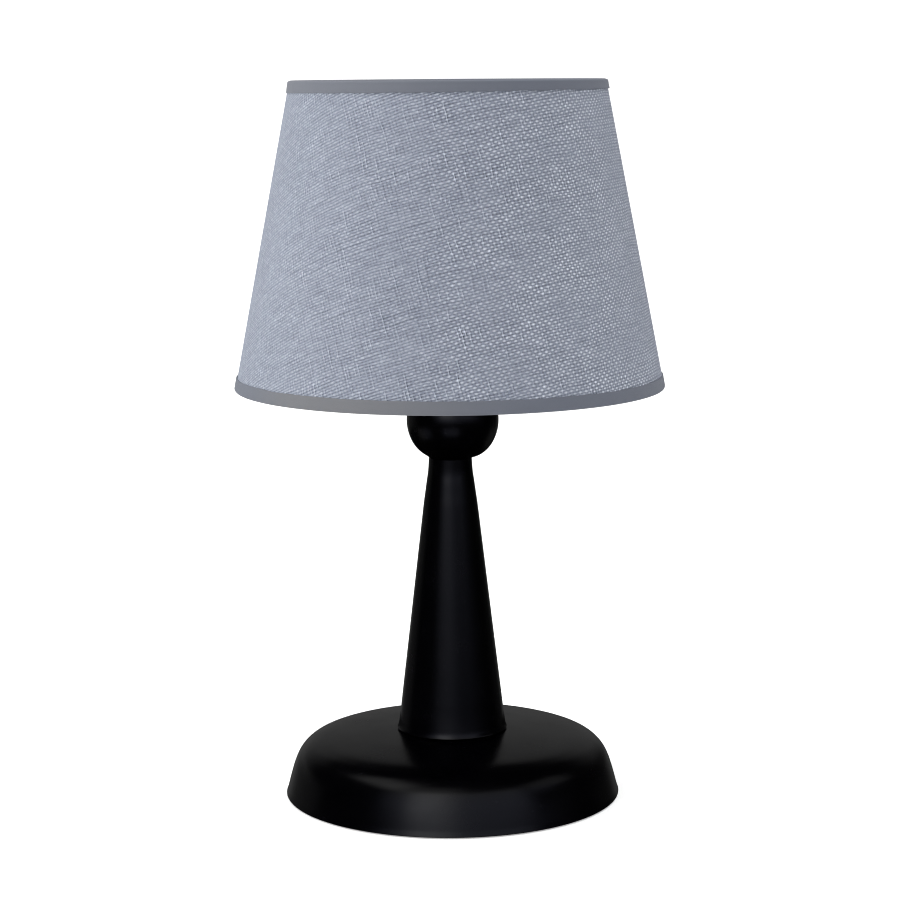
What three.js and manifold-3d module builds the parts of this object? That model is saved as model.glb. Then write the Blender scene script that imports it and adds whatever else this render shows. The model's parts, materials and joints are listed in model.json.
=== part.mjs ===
// Table lamp: a turned black base, a conical column and a ball neck, clamped on one hollow threaded
// tube, with a screw lampholder on top and a conical fabric shade held by the holder's collar.
// Millimetres, +Z up. The origin is the middle of the underside, and the cord leaves towards +Y.
import * as THREE from "three";
import { mergeVertices } from "three/addons/utils/BufferGeometryUtils.js";
import Module from "manifold-3d";

const wasm = await Module();
wasm.setup();

// ---------------------------------------------------------------- driving dimensions
const GAP = 0.3; // between pieces that touch

// base, turned from one block, hollow below for the clamping nut
const BASE_RIM_Z = 0.6; // the wooden rim hangs just clear of the table, and the pad stands on it
const BASE_TOP_Z = 30.6; // where the column stands
const BASE_BORE_R = 5.3;
const PAD_R = 75.0;
const PAD_T = 1.5;
const PAD_SEAT_R = 75.3;
const PAD_SEAT_Z = PAD_T + GAP;
const POCKET_R = 22;
const POCKET_TOP_Z = 17;
const TENON_HOLE_R = 12.1;
const TENON_HOLE_Z = 23.5;

// cord outlet through the back of the base
const CORD_Z = 9.5;
const CORD_HOLE_R = 4.9;
const BUSH_R = 4.6;
const BUSH_BORE_R = 3.6;
const BUSH_FLANGE_R = 6.2;
const BUSH_FLANGE_T = 1.4;
const BUSH_LENGTH = 14;
const SPOT_FACE_R = 6.5;
const SPOT_FACE_Y = 74.6;

// column
const STEM_FOOT_Z = BASE_TOP_Z + GAP;
const STEM_FOOT_R = 26.0;
const STEM_TOP_R = 10.05;
const TENON_R = 11.8;
const TENON_BOTTOM_Z = 24;

// ball neck
const BALL_R = 21.5;
const BALL_Z = 178.4;
const BALL_TOP_Z = 196.2;

// hollow threaded tube that clamps the stack
const TUBE_R = 4.95;
const TUBE_BORE_R = 4.0;
const TUBE_BOTTOM_Z = 8.5;
const TUBE_TOP_Z = 205.5;

// lampholder
const CAP_BOTTOM_Z = BALL_TOP_Z + GAP;
const CAP_TOP_Z = 219.5;
const CAP_R = 19.0;
const CAP_BORE_R = 5.1;
const LOCK_SCREW_Z = 199.6;
const FLANGE_R = 22.5;
const FLANGE_Z = CAP_TOP_Z + GAP;
const FLANGE_TOP_Z = 222.8;
const SKIRT_R = 19.6;
const SKIRT_TOP_Z = 250.5;
const SKIRT_BORE_R = 17.4;
const SKIRT_MOUTH_R = 15.5;
const SPIGOT_R = 16.9;
const SPIGOT_BORE_R = 15.4;
const SPIGOT_BOTTOM_Z = 214.5;
const LEDGE_Z = FLANGE_Z + 1.2;
const INSERT_R = 17.0;
const INSERT_TOP_Z = 223.5;
const SHELL_BORE_R = 13.5;
const SHELL_R = 14.0;
const TERMINAL_Y = 9.0;
const RIVET_X = -6.6;

// collar that clamps the shade
const HUB_Z = FLANGE_TOP_Z + GAP;
const HUB_T = 2.0;
const HUB_BORE_R = 20.7;
const HUB_R = 26.9;
const COLLAR_BORE_R = 19.95;
const COLLAR_FLANGE_R = 26.6;
const COLLAR_R = 23.4;
const COLLAR_Z = HUB_Z + HUB_T + GAP;
const COLLAR_TOP_Z = COLLAR_Z + 8.6;

// shade
const SHADE_BOTTOM_Z = 194.4;
const SHADE_TOP_Z = 334.6;
const SHADE_BOTTOM_R = 99.5; // outer face of the fabric
const SHADE_TOP_R = 72.6;
const FABRIC_T = 0.5;
const LINER_GAP = 0.15;
const LINER_T = 0.5;
const WIRE_R = 1.3;
const TRIM_T = 0.5;
const TRIM_GAP = 0.12;
const TRIM_HEIGHT = { top: 4.2, bottom: 5.3 }; // on the outside
const SPOKES = 3;

// lamp bulb, a 45 mm globe on a 27 mm screw cap
const TIP_BOTTOM_Z = 227.1;
const BULB_CAP_R = 13.2;
const BULB_CAP_TOP_Z = 251.5;
const GLOBE_R = 22.5;
const GLOBE_Z = 282;
const GLOBE_FOOT_Z = 269;

// faceting
const WIDE = 48;
const MID = 32;
const SMALL = 20;

// ---------------------------------------------------------------- materials
const finish = (color, roughness, metalness = 0) =>
  new THREE.MeshStandardMaterial({ color, roughness, metalness });
const lacquer = finish(0x141416, 0.38);
const felt = finish(0x1a1a1c, 0.95);
const blackPlastic = finish(0x18181a, 0.5);
const zinc = finish(0xb4b8bc, 0.35, 0.9);
const brass = finish(0xc8a24a, 0.35, 0.9);
const nickel = finish(0xc9cbce, 0.28, 0.95);
const steatite = finish(0xe6e0d2, 0.6);
const vitrite = finish(0x101014, 0.2);
const opal = finish(0xf4f3ee, 0.45);
const whitePlastic = finish(0xe9e9e6, 0.45);
const board = finish(0xdfe3e2, 0.5);
const wire = finish(0xe2e2df, 0.45);
const linerFilm = finish(0xeceae4, 0.6);
const weave = finish(0x9ca2af, 0.9);
const tape = finish(0x74787f, 0.85);

// ---------------------------------------------------------------- helpers
const lamp = new THREE.Group();

function piece(name, geometry, material, parent = lamp) {
  const mesh = new THREE.Mesh(geometry, material);
  mesh.name = name;
  parent.add(mesh);
  return mesh;
}

// A solid of revolution about +Z from an outline of [radius, z] pairs. An outline that doesn't
// touch the axis is closed on itself.
function turned(outline, segments) {
  const pts = outline.map(([r, z]) => new THREE.Vector2(r, z));
  let area = 0;
  for (let i = 0; i < pts.length; i++) {
    const a = pts[i];
    const b = pts[(i + 1) % pts.length];
    area += a.x * b.y - b.x * a.y;
  }
  if (area < 0) pts.reverse();
  const onAxis = pts.filter((p) => p.x === 0).length;
  if (onAxis === 0) pts.push(pts[0].clone());
  else
    while (!(pts[0].x === 0 && pts[pts.length - 1].x === 0))
      pts.push(pts.shift());
  return new THREE.LatheGeometry(pts, segments).rotateX(Math.PI / 2);
}

function toSolid(geometry) {
  const g = geometry.clone();
  g.deleteAttribute("normal");
  g.deleteAttribute("uv");
  const merged = mergeVertices(g, 1e-4);
  return new wasm.Manifold(
    new wasm.Mesh({
      numProp: 3,
      vertProperties: merged.attributes.position.array,
      triVerts: new Uint32Array(merged.index.array),
    }),
  );
}

function toGeometry(solid) {
  const m = solid.getMesh();
  const position = new Float32Array(m.numVert * 3);
  for (let i = 0; i < m.numVert; i++)
    position.set(
      m.vertProperties.subarray(i * m.numProp, i * m.numProp + 3),
      i * 3,
    );
  const g = new THREE.BufferGeometry();
  g.setAttribute("position", new THREE.BufferAttribute(position, 3));
  g.setIndex(new THREE.BufferAttribute(new Uint32Array(m.triVerts), 1));
  return g;
}

const cut = (geometry, ...tools) =>
  toGeometry(
    tools.reduce((s, t) => s.subtract(toSolid(t)), toSolid(geometry)),
  );
const join = (...parts) =>
  toGeometry(parts.map(toSolid).reduce((a, b) => a.add(b)));

// Upright cylinder from z0 to z1.
const rod = (r, z0, z1, segments) =>
  new THREE.CylinderGeometry(r, r, z1 - z0, segments)
    .rotateX(Math.PI / 2)
    .translate(0, 0, (z0 + z1) / 2);

// Cylinder along +Y from y0 to y1.
const rodY = (r, y0, y1, z, segments) =>
  new THREE.CylinderGeometry(r, r, y1 - y0, segments).translate(
    0,
    (y0 + y1) / 2,
    z,
  );

// Cylinder along +X from x0 to x1.
const rodX = (r, x0, x1, z, segments) =>
  new THREE.CylinderGeometry(r, r, x1 - x0, segments)
    .rotateZ(Math.PI / 2)
    .translate((x0 + x1) / 2, 0, z);

const ballZ = (r, side) =>
  BALL_Z + side * Math.sqrt(BALL_R * BALL_R - r * r);

// ---------------------------------------------------------------- base
const baseOutline = [
  [BASE_BORE_R, POCKET_TOP_Z],
  [POCKET_R, POCKET_TOP_Z],
  [POCKET_R, PAD_SEAT_Z],
  [PAD_SEAT_R, PAD_SEAT_Z],
  [PAD_SEAT_R, BASE_RIM_Z],
  [78.9, BASE_RIM_Z],
  [79.1, 1.7],
  [78.75, 3.0],
  [75.5, 12.8],
  [74.3, 16.3],
  [72.75, 19.5],
  [70.6, 22.3],
  [67.6, 24.7],
  [63.8, 26.3],
  [58.9, 27.5],
  [44.0, 29.3],
  [27.0, BASE_TOP_Z],
  [TENON_HOLE_R, BASE_TOP_Z],
  [TENON_HOLE_R, TENON_HOLE_Z],
  [BASE_BORE_R, TENON_HOLE_Z],
];
piece(
  "base_block",
  cut(
    turned(baseOutline, WIDE),
    rodY(CORD_HOLE_R, 18, 90, CORD_Z, 16),
    rodY(SPOT_FACE_R, SPOT_FACE_Y, 90, CORD_Z, 20),
  ),
  lacquer,
);

piece(
  "felt_pad",
  turned(
    [
      [0, 0],
      [PAD_R, 0],
      [PAD_R, PAD_T],
      [0, PAD_T],
    ],
    WIDE,
  ),
  felt,
);

// Bush that lines the cord hole, with its flange in the spot face.
const bushFace = SPOT_FACE_Y + GAP;
piece(
  "cord_bush",
  turned(
    [
      [BUSH_BORE_R, -BUSH_LENGTH],
      [BUSH_R - 0.4, -BUSH_LENGTH],
      [BUSH_R, -BUSH_LENGTH + 1.2],
      [BUSH_R, 0],
      [BUSH_FLANGE_R, 0],
      [BUSH_FLANGE_R, BUSH_FLANGE_T - 0.5],
      [BUSH_FLANGE_R - 0.6, BUSH_FLANGE_T],
      [BUSH_BORE_R + 0.5, BUSH_FLANGE_T],
      [BUSH_BORE_R, BUSH_FLANGE_T - 0.5],
    ],
    20,
  )
    .rotateX(-Math.PI / 2)
    .translate(0, bushFace, CORD_Z),
  blackPlastic,
);

// ---------------------------------------------------------------- column and ball
piece(
  "column",
  turned(
    [
      [BASE_BORE_R, TENON_BOTTOM_Z],
      [TENON_R - 0.6, TENON_BOTTOM_Z],
      [TENON_R, TENON_BOTTOM_Z + 0.8],
      [TENON_R, STEM_FOOT_Z],
      [STEM_FOOT_R - 0.4, STEM_FOOT_Z],
      [STEM_FOOT_R, STEM_FOOT_Z + 0.6],
      [25.0, 34.9],
      [24.2, 40.4],
      [23.5, 46.8],
      [13.1, 135],
      [12.5, 139.8],
      [11.75, 144.6],
      [11.1, 149.4],
      [10.45, 154],
      [STEM_TOP_R, ballZ(STEM_TOP_R, -1) - GAP],
      [7.7, ballZ(7.7, -1) - GAP],
      [BASE_BORE_R, ballZ(BASE_BORE_R, -1) - GAP],
    ],
    MID,
  ),
  lacquer,
);

const ballOutline = [];
const BALL_STEPS = 11;
for (let i = 0; i <= BALL_STEPS; i++) {
  const from = Math.asin((ballZ(BASE_BORE_R, -1) - BALL_Z) / BALL_R);
  const to = Math.asin((BALL_TOP_Z - BALL_Z) / BALL_R);
  const a = from + ((to - from) * i) / BALL_STEPS;
  ballOutline.push([BALL_R * Math.cos(a), BALL_Z + BALL_R * Math.sin(a)]);
}
ballOutline.push([BASE_BORE_R, BALL_TOP_Z]);
piece("ball_neck", turned(ballOutline, MID), lacquer);

// ---------------------------------------------------------------- tube, washers and nut
piece(
  "threaded_tube",
  turned(
    [
      [TUBE_BORE_R, TUBE_BOTTOM_Z],
      [TUBE_R - 0.4, TUBE_BOTTOM_Z],
      [TUBE_R, TUBE_BOTTOM_Z + 0.5],
      [TUBE_R, TUBE_TOP_Z - 0.5],
      [TUBE_R - 0.4, TUBE_TOP_Z],
      [TUBE_BORE_R, TUBE_TOP_Z],
    ],
    SMALL,
  ),
  zinc,
);

const ringShape = (outer, hole) => {
  const s = new THREE.Shape(outer);
  const h = new THREE.Path();
  h.absarc(0, 0, hole, 0, Math.PI * 2, true);
  s.holes.push(h);
  return s;
};
const circlePoints = (n, radius) =>
  Array.from({ length: n }, (_, i) => {
    const a = (i / n) * Math.PI * 2;
    const r = typeof radius === "function" ? radius(i) : radius;
    return new THREE.Vector2(r * Math.cos(a), r * Math.sin(a));
  });
const plate = (shape, z0, z1, curveSegments) =>
  new THREE.ExtrudeGeometry(shape, {
    depth: z1 - z0,
    bevelEnabled: false,
    curveSegments,
  }).translate(0, 0, z0);

piece(
  "clamp_washer",
  plate(ringShape(circlePoints(SMALL, 14), 5.4), 15.2, 16.7, 16),
  zinc,
);
piece(
  "lock_washer",
  plate(
    ringShape(
      circlePoints(24, (i) => (i % 2 ? 7.7 : 9.2)),
      5.4,
    ),
    14.0,
    14.9,
    12,
  ),
  zinc,
);
piece(
  "clamp_nut",
  plate(ringShape(circlePoints(6, 7 / Math.cos(Math.PI / 6)), 5.15), 9.8, 13.7, 12),
  zinc,
);

// ---------------------------------------------------------------- lampholder
piece(
  "holder_cap",
  cut(
    turned(
      [
        [CAP_BORE_R, CAP_BOTTOM_Z],
        [10.9, CAP_BOTTOM_Z],
        [11.5, CAP_BOTTOM_Z + 0.6],
        [11.5, 202.4],
        [14.6, 205.6],
        [17.3, 210.0],
        [18.7, 214.6],
        [CAP_R, CAP_TOP_Z],
        [17.2, CAP_TOP_Z],
        [17.2, 214.0],
        [15.6, 210.4],
        [12.6, 206.2],
        [10.6, 204.6],
        [CAP_BORE_R, 204.6],
      ],
      MID,
    ),
    rodX(1.65, 5.0, 14, LOCK_SCREW_Z, 12),
  ),
  blackPlastic,
);
piece("lock_screw", rodX(1.5, 5.3, 11.2, LOCK_SCREW_Z, 12), blackPlastic);

piece(
  "holder_skirt",
  turned(
    [
      [SPIGOT_BORE_R, SPIGOT_BOTTOM_Z],
      [SPIGOT_R, SPIGOT_BOTTOM_Z],
      [SPIGOT_R, FLANGE_Z],
      [FLANGE_R - 0.4, FLANGE_Z],
      [FLANGE_R, FLANGE_Z + 0.5],
      [FLANGE_R, FLANGE_TOP_Z - 0.4],
      [FLANGE_R - 0.4, FLANGE_TOP_Z],
      [SKIRT_R, FLANGE_TOP_Z],
      [SKIRT_R, SKIRT_TOP_Z - 0.8],
      [SKIRT_R - 0.8, SKIRT_TOP_Z],
      [SKIRT_MOUTH_R, SKIRT_TOP_Z],
      [SKIRT_MOUTH_R, SKIRT_TOP_Z - 3.5],
      [SKIRT_BORE_R, SKIRT_TOP_Z - 5],
      [SKIRT_BORE_R, LEDGE_Z],
      [SPIGOT_BORE_R, LEDGE_Z],
    ],
    MID,
  ),
  blackPlastic,
);

// Contact block on the spigot's step, with holes for the terminal screws and the centre rivet.
const blindHole = (y) => rod(1.95, 205, 218.5, 12).translate(0, y, 0);
piece(
  "contact_block",
  cut(
    turned(
      [
        [0, 213.2],
        [15.0, 213.2],
        [15.0, LEDGE_Z + GAP],
        [INSERT_R, LEDGE_Z + GAP],
        [INSERT_R, INSERT_TOP_Z],
        [0, INSERT_TOP_Z],
      ],
      MID,
    ),
    blindHole(TERMINAL_Y),
    blindHole(-TERMINAL_Y),
    rod(1.95, 205, 230, 12).translate(RIVET_X, 0, 0),
  ),
  steatite,
);

const terminalScrew = (y) =>
  turned(
    [
      [0, 210.4],
      [3.0, 210.4],
      [3.2, 210.8],
      [3.2, 212.9],
      [1.7, 212.9],
      [1.7, 218.0],
      [0, 218.0],
    ],
    12,
  ).translate(0, y, 0);
piece("terminal_screw_live", terminalScrew(TERMINAL_Y), brass);
piece("terminal_screw_neutral", terminalScrew(-TERMINAL_Y), brass);

piece(
  "shell_contact",
  turned(
    [
      [SHELL_BORE_R, INSERT_TOP_Z + GAP],
      [SHELL_R, INSERT_TOP_Z + GAP],
      [SHELL_R, 243.5],
      [SHELL_BORE_R, 243.5],
    ],
    MID,
  ),
  brass,
);

// Springy brass tongue: riveted flat on the block, then bent up and over the middle.
const tongue = new THREE.Shape(
  [
    [-9.8, 223.8],
    [-3.6, 223.8],
    [-1.2, 226.2],
    [3.2, 226.2],
    [4.6, 225.4],
    [5.0, 225.9],
    [3.4, 226.8],
    [-1.5, 226.8],
    [-3.9, 224.4],
    [-9.8, 224.4],
  ].map(([x, z]) => new THREE.Vector2(x, z)),
);
const rivet = join(
  rod(1.7, 212.6, 224.6, 12),
  rod(2.7, 211.9, 212.8, 12),
  rod(2.5, 224.2, 225.0, 12),
).translate(RIVET_X, 0, 0);
piece(
  "centre_contact",
  join(
    new THREE.ExtrudeGeometry(tongue, { depth: 6, bevelEnabled: false })
      .translate(0, 0, -3)
      .rotateX(Math.PI / 2),
    rivet,
  ),
  brass,
);

// ---------------------------------------------------------------- collar
piece(
  "shade_collar",
  turned(
    [
      [COLLAR_BORE_R, COLLAR_Z],
      [COLLAR_FLANGE_R - 0.5, COLLAR_Z],
      [COLLAR_FLANGE_R, COLLAR_Z + 0.5],
      [COLLAR_FLANGE_R, COLLAR_Z + 1.7],
      [COLLAR_FLANGE_R - 0.8, COLLAR_Z + 2.4],
      [COLLAR_R + 0.6, COLLAR_Z + 2.8],
      [COLLAR_R, COLLAR_Z + 3.4],
      [COLLAR_R - 0.3, COLLAR_TOP_Z - 0.6],
      [COLLAR_R - 0.9, COLLAR_TOP_Z],
      [COLLAR_BORE_R, COLLAR_TOP_Z],
    ],
    MID,
  ),
  blackPlastic,
);

// ---------------------------------------------------------------- bulb
const bulb = new THREE.Group();
lamp.add(bulb);
piece(
  "bulb_tip",
  turned(
    [
      [0, TIP_BOTTOM_Z],
      [3.4, TIP_BOTTOM_Z],
      [4.6, TIP_BOTTOM_Z + 0.6],
      [4.6, TIP_BOTTOM_Z + 1.2],
      [1.4, TIP_BOTTOM_Z + 1.5],
      [1.4, TIP_BOTTOM_Z + 4.5],
      [0, TIP_BOTTOM_Z + 4.5],
    ],
    16,
  ),
  brass,
  bulb,
);
piece(
  "bulb_insulator",
  turned(
    [
      [1.7, 228.95],
      [5.4, 228.6],
      [9.8, 231.0],
      [11.2, 232.6],
      [11.2, 234.0],
      [1.7, 234.0],
    ],
    SMALL,
  ),
  vitrite,
  bulb,
);
piece(
  "bulb_screw_cap",
  turned(
    [
      [11.5, 231.6],
      [12.2, 231.6],
      [BULB_CAP_R, 233.6],
      [BULB_CAP_R, BULB_CAP_TOP_Z],
      [12.7, BULB_CAP_TOP_Z],
      [12.7, 234.4],
      [11.5, 232.6],
    ],
    MID,
  ),
  nickel,
  bulb,
);
piece(
  "bulb_housing",
  turned(
    [
      [11.2, 240.5],
      [12.4, 240.5],
      [12.4, BULB_CAP_TOP_Z + GAP],
      [13.7, BULB_CAP_TOP_Z + GAP],
      [14.6, 255.6],
      [16.6, 261.6],
      [19.0, GLOBE_FOOT_Z - GAP],
      [17.3, GLOBE_FOOT_Z - GAP],
      [15.3, 262.4],
      [13.2, 256.2],
      [11.2, 252.2],
    ],
    MID,
  ),
  whitePlastic,
  bulb,
);
piece(
  "led_board",
  turned(
    [
      [0, 265.4],
      [15.8, 265.4],
      [15.8, 267.0],
      [0, 267.0],
    ],
    SMALL,
  ),
  board,
  bulb,
);
const arc = (r, steps) =>
  Array.from({ length: steps + 1 }, (_, i) => {
    const from = Math.asin((GLOBE_FOOT_Z - GLOBE_Z) / r);
    const a = from + ((Math.PI / 2 - from) * i) / steps;
    return i === steps
      ? [0, GLOBE_Z + r]
      : [r * Math.cos(a), GLOBE_Z + r * Math.sin(a)];
  });
piece(
  "bulb_diffuser",
  turned([...arc(GLOBE_R, 9), ...arc(GLOBE_R - 1.2, 7).reverse()], MID),
  opal,
  bulb,
);

// ---------------------------------------------------------------- shade
const shade = new THREE.Group();
lamp.add(shade);
const slope =
  (SHADE_BOTTOM_R - SHADE_TOP_R) / (SHADE_TOP_Z - SHADE_BOTTOM_Z);
const faceR = (z) => SHADE_BOTTOM_R - (z - SHADE_BOTTOM_Z) * slope; // outer face of the fabric
const coneShell = (out, inner) => [
  [faceR(SHADE_BOTTOM_Z) - inner, SHADE_BOTTOM_Z],
  [faceR(SHADE_BOTTOM_Z) - out, SHADE_BOTTOM_Z],
  [faceR(SHADE_TOP_Z) - out, SHADE_TOP_Z],
  [faceR(SHADE_TOP_Z) - inner, SHADE_TOP_Z],
];
piece("shade_fabric", turned(coneShell(0, FABRIC_T), WIDE), weave, shade);
const linerOut = FABRIC_T + LINER_GAP;
const linerIn = linerOut + LINER_T;
piece("shade_liner", turned(coneShell(linerOut, linerIn), WIDE), linerFilm, shade);

// Wire rings just inside the liner, at the two edges.
const wireZ = { top: SHADE_TOP_Z - 1.9, bottom: SHADE_BOTTOM_Z + 1.9 };
const wireRing = (z) => {
  const inside = (faceR(z) - linerIn) * Math.cos(Math.PI / WIDE);
  return inside - WIRE_R - 0.25;
};
const topWire = wireRing(wireZ.top);
const bottomWire = wireRing(wireZ.bottom);
piece(
  "top_wire_ring",
  new THREE.TorusGeometry(topWire, WIRE_R, 6, WIDE).translate(0, 0, wireZ.top),
  wire,
  shade,
);
piece(
  "bottom_wire_ring",
  new THREE.TorusGeometry(bottomWire, WIRE_R, 6, WIDE).translate(
    0,
    0,
    wireZ.bottom,
  ),
  wire,
  shade,
);

// Edge tape folded over each edge: outside on the fabric, across the edge, and inside the wire.
// side +1 is the top edge and -1 the bottom edge.
const tapeOutline = (edgeZ, side, ringR) => {
  const height = side > 0 ? TRIM_HEIGHT.top : TRIM_HEIGHT.bottom;
  const lap = edgeZ - side * height;
  const web0 = edgeZ + side * 0.12;
  const web1 = web0 + side * TRIM_T;
  const inner0 = ringR - WIRE_R - 0.3;
  const inner1 = inner0 - TRIM_T;
  const lapIn = edgeZ - side * 4.9;
  return [
    [faceR(lap) + TRIM_GAP, lap],
    [faceR(lap) + TRIM_GAP + TRIM_T, lap],
    [faceR(edgeZ) + TRIM_GAP + TRIM_T, edgeZ],
    [faceR(edgeZ) + TRIM_GAP, web1],
    [inner0, web1],
    [inner1, web0 - side * 0.3],
    [inner1, lapIn],
    [inner0, lapIn],
    [inner0, web0],
    [faceR(edgeZ) + TRIM_GAP, web0],
  ];
};
piece(
  "top_edge_tape",
  turned(tapeOutline(SHADE_TOP_Z, 1, topWire), WIDE),
  tape,
  shade,
);
// The inner lap is slit where each spoke comes through to the ring.
const spokeAngle = (i) => Math.PI / 2 + (i * 2 * Math.PI) / SPOKES;
const slit = (i) =>
  new THREE.BoxGeometry(6, 2 * WIRE_R + 0.7, 8)
    .translate(bottomWire - WIRE_R - 2.9, 0, wireZ.bottom - WIRE_R - 0.1 + 4)
    .rotateZ(spokeAngle(i));
piece(
  "bottom_edge_tape",
  cut(
    turned(tapeOutline(SHADE_BOTTOM_Z, -1, bottomWire), WIDE),
    slit(0),
    slit(1),
    slit(2),
  ),
  tape,
  shade,
);

// Hub that sits on the lampholder's flange, and the spokes that carry the bottom ring.
piece(
  "shade_hub",
  turned(
    [
      [HUB_BORE_R, HUB_Z],
      [HUB_R, HUB_Z],
      [HUB_R, HUB_Z + HUB_T],
      [HUB_BORE_R, HUB_Z + HUB_T],
    ],
    MID,
  ),
  wire,
  shade,
);
const spokeEnd = bottomWire - WIRE_R - 0.7;
const spokeZ = HUB_Z + HUB_T / 2;
const spokeLine = new THREE.CatmullRomCurve3(
  [
    [HUB_R + GAP, spokeZ],
    [HUB_R + 4.2, spokeZ - 0.2],
    [HUB_R + 9, spokeZ - 1.7],
    [spokeEnd - 9, wireZ.bottom + 2.9],
    [spokeEnd - 4, wireZ.bottom + 1.0],
    [spokeEnd, wireZ.bottom + 0.3],
  ].map(([r, z]) => new THREE.Vector3(r, 0, z)),
  false,
  "centripetal",
);
for (let i = 0; i < SPOKES; i++) {
  const section = new THREE.Shape(circlePoints(8, WIRE_R));
  piece(
    "spoke_" + (i + 1),
    new THREE.ExtrudeGeometry(section, {
      steps: 14,
      bevelEnabled: false,
      extrudePath: spokeLine,
    }).rotateZ(spokeAngle(i)),
    wire,
    shade,
  );
}

export default lamp;
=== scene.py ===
"""Table lamp: the looks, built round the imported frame. Metres, +Z up, camera on the -Y side.
Profiles are written in millimetres and scaled by MM when the meshes are made."""

import json
import math

import bmesh
import bpy
import numpy as np
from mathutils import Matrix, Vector, geometry

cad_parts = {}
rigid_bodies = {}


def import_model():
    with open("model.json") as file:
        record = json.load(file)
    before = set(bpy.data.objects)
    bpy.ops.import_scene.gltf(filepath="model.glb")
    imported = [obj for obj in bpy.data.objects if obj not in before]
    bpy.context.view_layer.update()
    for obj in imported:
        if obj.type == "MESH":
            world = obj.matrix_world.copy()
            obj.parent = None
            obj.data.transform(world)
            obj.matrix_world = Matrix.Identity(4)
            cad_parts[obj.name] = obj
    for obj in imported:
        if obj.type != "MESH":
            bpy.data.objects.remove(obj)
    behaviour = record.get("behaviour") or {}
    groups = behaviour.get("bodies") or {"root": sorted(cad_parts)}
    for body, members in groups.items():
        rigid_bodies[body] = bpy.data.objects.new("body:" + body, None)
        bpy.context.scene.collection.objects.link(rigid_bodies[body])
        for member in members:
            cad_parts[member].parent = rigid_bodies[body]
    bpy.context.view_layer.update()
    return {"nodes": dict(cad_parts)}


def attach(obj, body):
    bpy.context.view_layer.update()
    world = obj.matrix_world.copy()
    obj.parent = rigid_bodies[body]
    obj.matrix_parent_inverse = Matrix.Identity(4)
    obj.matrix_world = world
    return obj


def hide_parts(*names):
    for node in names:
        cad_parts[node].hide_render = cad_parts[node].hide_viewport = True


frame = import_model()
scene = bpy.context.scene
MM = 0.001
TAU = 2 * math.pi

# ------------------------------------------------------------------ sizes shared with the frame, mm
GAP = 0.3
BASE_TOP_Z = 30.6
PAD_R, PAD_T = 75.0, 1.5
CORD_Z, CORD_HOLE_R = 9.5, 4.9
SPOT_FACE_R, SPOT_FACE_Y = 6.5, 74.6
BALL_R, BALL_Z, BALL_TOP_Z = 21.5, 178.4, 196.2
HUB_Z, HUB_T, HUB_BORE_R, HUB_R = 223.1, 2.0, 20.7, 26.9
COLLAR_Z = HUB_Z + HUB_T + GAP
COLLAR_TOP_Z = COLLAR_Z + 8.6
SHADE_BOTTOM_Z, SHADE_TOP_Z = 194.4, 334.6
SHADE_BOTTOM_R, SHADE_TOP_R = 99.5, 72.6
FABRIC_T, LINER_GAP, LINER_T = 0.5, 0.15, 0.5
WIRE_R, TRIM_T, TRIM_GAP = 1.3, 0.5, 0.12
TRIM_HEIGHT = {"top": 4.2, "bottom": 5.3}  # on the outside
SLOPE = (SHADE_BOTTOM_R - SHADE_TOP_R) / (SHADE_TOP_Z - SHADE_BOTTOM_Z)
LINER_IN = FABRIC_T + LINER_GAP + LINER_T


def face_r(z):
    """Radius of the fabric's outer face."""
    return SHADE_BOTTOM_R - (z - SHADE_BOTTOM_Z) * SLOPE


WIRE_Z = {"top": SHADE_TOP_Z - 1.9, "bottom": SHADE_BOTTOM_Z + 1.9}
RING_R = {
    k: (face_r(z) - LINER_IN) * math.cos(math.pi / 48) - WIRE_R - 0.25
    for k, z in WIRE_Z.items()
}


# ------------------------------------------------------------------ mesh helpers
def make(name, verts, faces, sharp=35.0):
    """A smooth-shaded object from vertices in mm, its normals facing out."""
    mesh = bpy.data.meshes.new(name)
    mesh.from_pydata((np.asarray(verts, float) * MM).tolist(), [], faces)
    bm = bmesh.new()
    bm.from_mesh(mesh)
    bmesh.ops.remove_doubles(bm, verts=bm.verts, dist=1e-7)
    bmesh.ops.recalc_face_normals(bm, faces=bm.faces)
    bm.to_mesh(mesh)
    bm.free()
    mesh.shade_smooth()
    mesh.set_sharp_from_angle(angle=math.radians(sharp))
    ob = bpy.data.objects.new(name, mesh)
    scene.collection.objects.link(ob)
    return ob


def bake_modifiers(ob, sharp=35.0):
    """Replaces the mesh by its modified one."""
    dg = bpy.context.evaluated_depsgraph_get()
    mesh = bpy.data.meshes.new_from_object(ob.evaluated_get(dg))
    ob.modifiers.clear()
    old, ob.data = ob.data, mesh
    mesh.name = old.name
    mesh.shade_smooth()
    mesh.set_sharp_from_angle(angle=math.radians(sharp))


def rounded(points, steps=5):
    """A closed outline from (r, z) or (r, z, fillet) corners, each fillet turned into an arc."""
    out = []
    n = len(points)
    for i, p in enumerate(points):
        c = np.array(p[:2], float)
        f = p[2] if len(p) > 2 else 0
        if not f:
            out.append(tuple(c))
            continue
        a = np.array(points[i - 1][:2], float) - c
        b = np.array(points[(i + 1) % n][:2], float) - c
        la, lb = np.linalg.norm(a), np.linalg.norm(b)
        a, b = a / la, b / lb
        half = math.acos(max(-1, min(1, float(a @ b)))) / 2
        cut = min(f / math.tan(half), 0.49 * la, 0.49 * lb)
        rad = cut * math.tan(half)
        middle = c + (a + b) / np.linalg.norm(a + b) * (rad / math.sin(half))
        p0, p1 = c + a * cut - middle, c + b * cut - middle
        a0 = math.atan2(p0[1], p0[0])
        turn = (math.atan2(p1[1], p1[0]) - a0 + math.pi) % TAU - math.pi
        for k in range(steps + 1):
            t = a0 + turn * k / steps
            out.append((middle[0] + rad * math.cos(t), middle[1] + rad * math.sin(t)))
    return out


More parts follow.
